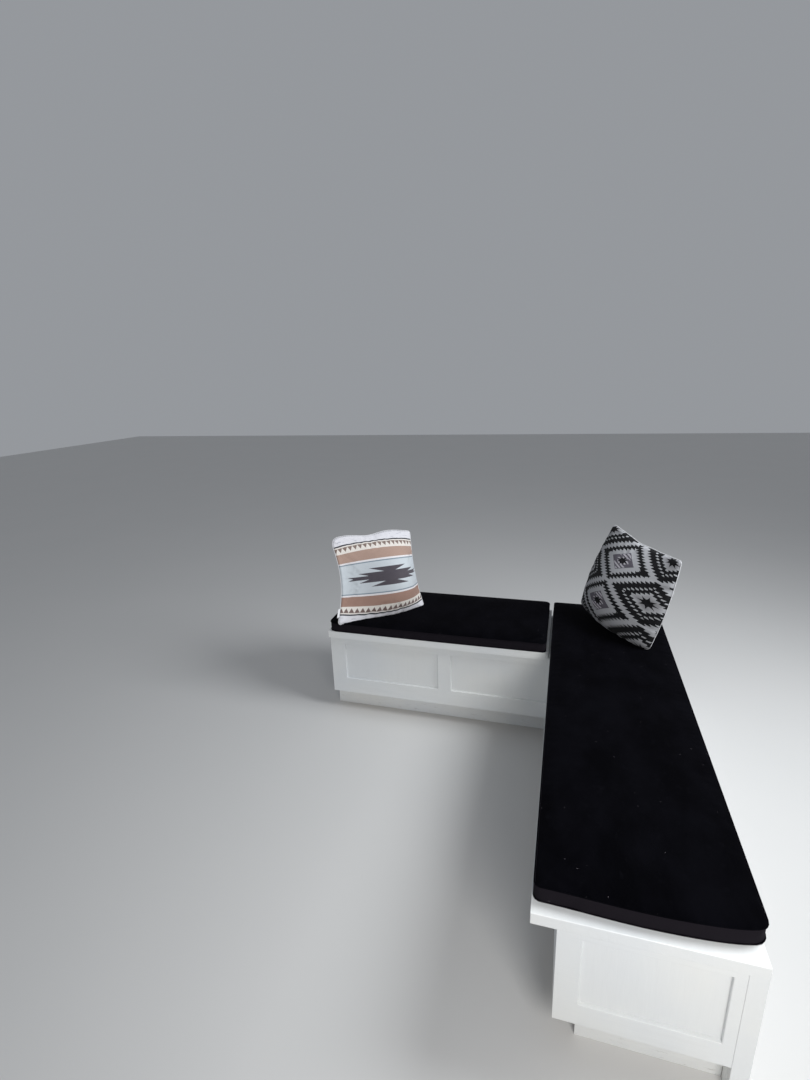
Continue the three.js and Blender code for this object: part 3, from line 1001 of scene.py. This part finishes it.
def swollen(shares):
    """A full cushion's shape before simulation, from shares of a flat square."""
    u, v, side = shares.T
    arch_u, arch_v = np.sin(math.pi * u), np.sin(math.pi * v)
    full = np.clip(arch_u * arch_v, 0, None) ** 0.6
    x = (u - 0.5) * (1 - SCATTER_DRAW * arch_v) * SCATTER_SIDE
    y = (v - 0.5) * (1 - SCATTER_DRAW * arch_u) * SCATTER_SIDE
    return np.stack([x, y, side * (SCATTER_RIM + full * SCATTER_THICK) / 2], 1)


def folds(shape, index):
    """What stands out from a smoothed copy of each sheet: the small folds and the fullness."""
    left = np.zeros_like(shape)
    steps = range(SCATTER_STEPS + 1)
    for side in (1, -1):
        rows = np.array([[index[side, i, j] for j in steps] for i in steps])
        sheet = shape[rows]
        smooth = sheet.copy()
        for _ in range(16):
            around = smooth[:-2, 1:-1] + smooth[2:, 1:-1] + smooth[1:-1, :-2] + smooth[1:-1, 2:]
            smooth[1:-1, 1:-1] = around / 4
        left[rows] = sheet - smooth
    return left


def blunted(across, up, rounds):
    """Rounds off the four corners of a square, each by its own share of a side."""
    spot = np.stack([across - 0.5, up - 0.5], 1)
    right, high = spot[:, 0] > 0, spot[:, 1] > 0
    core = 0.5 - np.choose(np.where(high, 3 - right, right), rounds)[:, None]
    out = np.abs(spot) - core
    corner = out.min(1) > 0
    out[corner] *= (out[corner].max(1) / np.linalg.norm(out[corner], axis=1))[:, None]
    spot[corner] = np.sign(spot[corner]) * (core + out)[corner]
    return spot[:, 0] + 0.5, spot[:, 1] + 0.5


def leant(cushion, shares, crease):
    """Where a cushion's points stand: its corners, its sides between them, its bulge and folds."""
    u, v, side = shares.T
    arch_u, arch_v = np.sin(math.pi * u), np.sin(math.pi * v)
    left, right, bottom, top = cushion["draw"]
    across = left * arch_v + (1 - (left + right) * arch_v) * u
    up = bottom * arch_u + (1 - (bottom + top) * arch_u) * v
    place, width, depth = cushion["dip"]
    up -= depth * np.exp(-(((u - place) / width) ** 2)) * np.clip((v - 0.82) / 0.18, 0, 1) ** 2
    across, up = (share[:, None] for share in blunted(across, up, cushion["rounds"]))
    peak_u, peak_v = (math.log(0.5) / math.log(peak) for peak in cushion["peak"])
    face = np.sin(math.pi * u**peak_u) * np.sin(math.pi * v**peak_v)
    face = np.clip(face, 0, None) ** cushion["full"] * cushion["front"]
    back = np.clip(arch_u * arch_v, 0, None) ** 0.8 * SCATTER_BACK
    rise = np.where(side > 0, face, -back) * np.abs(side)
    rise += side * SCATTER_RIM / 2 + crease[:, 2]
    a, b, c, d = (
        np.array(cushion[corner])
        for corner in ("bottom_left", "bottom_right", "top_right", "top_left")
    )
    outward = np.cross(c - a, d - b)
    outward /= np.linalg.norm(outward)
    rightward = (b - a + c - d) / np.linalg.norm(b - a + c - d)
    upward = (d - a + c - b) / np.linalg.norm(d - a + c - b)
    spots = (a * (1 - across) + b * across) * (1 - up) + (d * (1 - across) + c * across) * up
    return spots + rise[:, None] * outward + crease[:, :1] * rightward + crease[:, 1:2] * upward


def scatter_cushion(node, cushion, body, slot, material):
    """A knife-edged cushion, with the folds of one that was swelled flat on a table."""
    shares, faces, rim, index = pillow_grid(SCATTER_STEPS)
    start = swollen(shares)
    piece = new_piece(node + "_cover", start, faces, material)
    shape = start
    flat = start.copy()
    flat[:, :2] = (shares[:, :2] - 0.5) * SCATTER_SIDE
    flat[:, 2] = shares[:, 2] * SCATTER_RIM / 2
    piece.shape_key_add(name="swollen")
    cut = piece.shape_key_add(name="flat")
    cut.data.foreach_set("co", flat.astype(np.float32).ravel())
    shape = simulate(piece, rest=cut, **SCATTER_SWELL)
    piece.shape_key_clear()
    spots = settle(leant(cushion, shares, folds(shape, index) * SCATTER_FOLDS))
    place_points(piece, spots)
    pattern = piece.data.attributes.new("pattern", "FLOAT_VECTOR", "POINT")
    pattern.data.foreach_set("vector", shares.astype(np.float32).ravel())
    make_finer(piece)
    attach(piece, body, slot, node)
    bead = new_piece(node + "_seam", *tube(spots[rim], SCATTER_SEAM), SEAM_COTTON)
    attach(bead, body, slot)
    return spots, shares


def seat_below(spots):
    """Height of the seat cushion under each point, or -1 where there is none."""
    height = np.full(len(spots), -1.0)
    for node, tops in PAD_TOPS.items():
        low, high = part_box(node)
        steps = np.array(tops.shape) - 1
        share = (spots[:, :2] - (low.x, low.y)) / (high.x - low.x, high.y - low.y)
        over = (share > 0).all(1) & (share < 1).all(1)
        column, row = np.rint(share[over] * steps).astype(int).T
        height[over] = tops[column, row]
    return height


def settle(spots):
    """Flattens a cushion where it meets the seat and the cabin's walls."""
    settled = spots.copy()
    above = spots[:, 2] - seat_below(spots) - SEAT_CLEARANCE
    lifted = (above + np.hypot(above, SEAT_SOFTNESS)) / 2
    settled[:, 2] += lifted - above
    settled[:, 0] = np.clip(settled[:, 0], CAD_LOW[0] + WALL_CLEARANCE, CAD_HIGH[0] - WALL_CLEARANCE)
    settled[:, 1] = np.minimum(settled[:, 1], CAD_HIGH[1] - WALL_CLEARANCE)
    return settled


def cushion_tag(spots, shares):
    """A blank folded tape that stands out of the striped cushion's left seam."""
    first, last = TAG_SPAN
    on_seam = (shares[:, 0] == 0) & (shares[:, 1] > first) & (shares[:, 1] < last)
    seam = spots[on_seam][np.argsort(shares[on_seam][:, 1])]
    out = np.array(TAG_WAY)
    out /= np.linalg.norm(out)
    profile = [*TAG_FOLD, (TAG_REACH, 0.0)]
    profile += [(reach, -lift) for reach, lift in reversed(TAG_FOLD)]
    thick = np.array(TAG_FACE)
    points = [spot + out * reach + thick * lift for spot in seam for reach, lift in profile]
    width = len(profile)
    faces = [
        (i * width + k, i * width + k + 1, (i + 1) * width + k + 1, (i + 1) * width + k)
        for i in range(len(seam) - 1)
        for k in range(width - 1)
    ]
    tag = new_piece("striped_cushion_tag", points, faces, plain_cotton())
    shell = tag.modifiers.new("thickness", "SOLIDIFY")
    shell.thickness = TAG_THICK
    attach(tag, "short_lid", "striped_cotton")


# Hinges


def screw_head(middle, outward, spin):
    """A countersunk head with a cross slot, as points and faces around its middle."""
    side = Vector((0, 0, 1)).cross(outward).normalized()
    over = outward.cross(side)
    cross = [SLOT_REACH if k % 4 == 0 else SLOT_CORE for k in range(SCREW_POINTS)]
    rings = [([share] * SCREW_POINTS, lift) for share, lift in SCREW_RINGS]
    rings += [(cross, SCREW_PROUD), ([SLOT_CORE] * SCREW_POINTS, -SCREW_SINK)]
    points = []
    for shares, lift in rings:
        for k, share in enumerate(shares):
            angle = spin + k * 2 * math.pi / SCREW_POINTS
            reach = SCREW_HEAD * share
            spot = middle + side * (reach * math.cos(angle)) + over * (reach * math.sin(angle))
            points.append(spot + outward * lift)
    faces = []
    for first in range(0, len(points) - SCREW_POINTS, SCREW_POINTS):
        for k in range(SCREW_POINTS):
            here, after = first + k, first + (k + 1) % SCREW_POINTS
            faces.append((here, after, after + SCREW_POINTS, here + SCREW_POINTS))
    faces.append(tuple(range(len(points) - SCREW_POINTS, len(points))))
    return points, faces


def plate_face(name, low, run):
    """How far out the flat plate of a leaf reaches, without its knuckles."""
    mesh = frame["nodes"][name].data
    return max(vertex.co[1 - run] for vertex in mesh.vertices if vertex.co.z < low.z + 0.001)


def hinge_screws():
    """Screw heads on the leaves that face the cabin's walls, one joined piece a leaf."""
    for name in sorted(n for n in frame["nodes"] if n.endswith("_leaf")):
        dress(frame["nodes"][name], STEEL)
        low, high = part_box(name)
        bench = name.split("_")[0]
        run = 1 if bench == "long" else 0
        outward = Vector((run, 1 - run, 0))
        fixed = name.endswith("fixed_leaf")
        points, faces = [], []
        for row, drop in enumerate(FIXED_ROWS if fixed else MOVING_ROWS):
            for share in SCREW_PLACES:
                middle = Vector((0, 0, high.z - drop))
                middle[run] = low[run] + (high[run] - low[run]) * share
                middle[1 - run] = plate_face(name, low, run)
                more, quads = screw_head(middle, outward, 0.3 + row + SCREW_SPIN * share)
                faces += [tuple(len(points) + i for i in quad) for quad in quads]
                points += more
        piece = new_piece(name + "_screws", points, faces, STEEL, smooth=False)
        attach(piece, "base" if fixed else bench + "_lid", "hinge_steel")


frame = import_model()
CAD_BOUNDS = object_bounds()
CAD_LOW, CAD_HIGH = CAD_BOUNDS
SLOTS = {part["node"]: part["material_slot"] for part in frame["record"]["subparts"]}

PAINTS = [white_paint(axis) for axis in range(3)]
VELVET = black_velvet()
STEEL = hinge_steel()
SEAM_COTTON = plain_cotton()

make_camera()
make_floor()
make_light()
PAD_TOPS = {
    "long_seat_cushion": seat_cushion("long_seat_cushion", "long_lid", LONG_ROUNDS, LONG_NEAR),
    "short_seat_cushion": seat_cushion("short_seat_cushion", "short_lid", SHORT_ROUNDS, SHORT_NEAR),
}
left_spots, left_shares = scatter_cushion(
    "left_scatter_cushion", LEFT_CUSHION, "short_lid", "striped_cotton", striped_cotton()
)
cushion_tag(left_spots, left_shares)
scatter_cushion(
    "corner_scatter_cushion", CORNER_CUSHION, "long_lid", "diamond_cotton", diamond_cotton()
)
dress_boards()
for panelled in ("long_front", "short_front", "end_panel"):
    panel_frame(panelled, "base")
hinge_screws()
